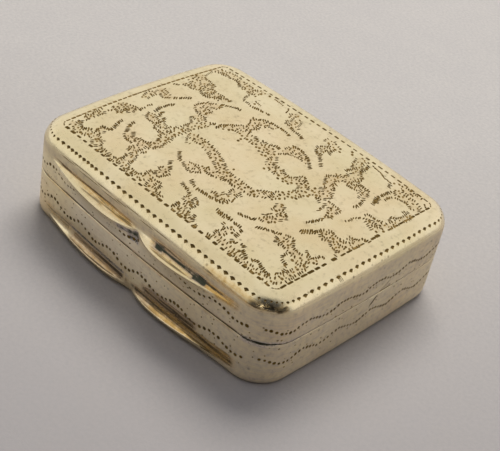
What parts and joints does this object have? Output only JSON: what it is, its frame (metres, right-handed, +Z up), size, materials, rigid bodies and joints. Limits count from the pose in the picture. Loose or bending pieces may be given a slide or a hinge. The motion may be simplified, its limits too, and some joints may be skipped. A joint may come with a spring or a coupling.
{
  "type": "vinaigrette box",
  "caption": "Small rectangular silver vinaigrette with an engraved hinged lid, lobed lips along the front, and a hinged pierced gilt grille over a sponge.",
  "frame": {"origin": "centre of the flat face that the box rests on, under the middle of the lid panel", "axes": "+X along the length, +Y to the back where the hinge is, +Z up; the lobed lips face -Y"},
  "size_m": [0.0326, 0.0275, 0.0099],
  "materials": {
    "silver": "worn polished silver, warm, with dark engraving",
    "gilt": "soft gilding",
    "wire": "drawn wire",
    "sponge": "dry natural sponge"
  },
  "bodies": {
    "base": {"base_band": "silver", "base_bottom_plate": "silver", "base_hinge_bearer": "silver", "bezel": "gilt", "base_knuckle_left": "silver", "base_knuckle_center": "silver", "base_knuckle_right": "silver", "hinge_pin": "wire", "grille_lug_left": "gilt", "grille_lug_right": "gilt", "grille_pin": "wire", "grille_ledge_left": "gilt", "grille_ledge_right": "gilt", "grille_ledge_front": "gilt", "sponge": "sponge"},
    "lid": {"lid_band": "silver", "lid_top_plate": "silver", "lid_hinge_bearer": "silver", "lid_knuckle_left": "silver", "lid_knuckle_right": "silver"},
    "grille": {"grille_plate": "gilt", "grille_knuckle": "gilt"}
  },
  "joints": [
    {"name": "lid_hinge", "type": "hinge", "parent": "base", "child": "lid", "pos_m": [0, 0.013, 0.00485], "axis": [-1, 0, 0], "range_deg": [0, 110]},
    {"name": "grille_hinge", "type": "hinge", "parent": "base", "child": "grille", "pos_m": [0, 0.01045, 0.0043], "axis": [-1, 0, 0], "range_deg": [0, 99]}
  ],
  "couplings": [
    {"joint": "grille_hinge", "follows": "lid_hinge", "ratio": 0.9}
  ]
}
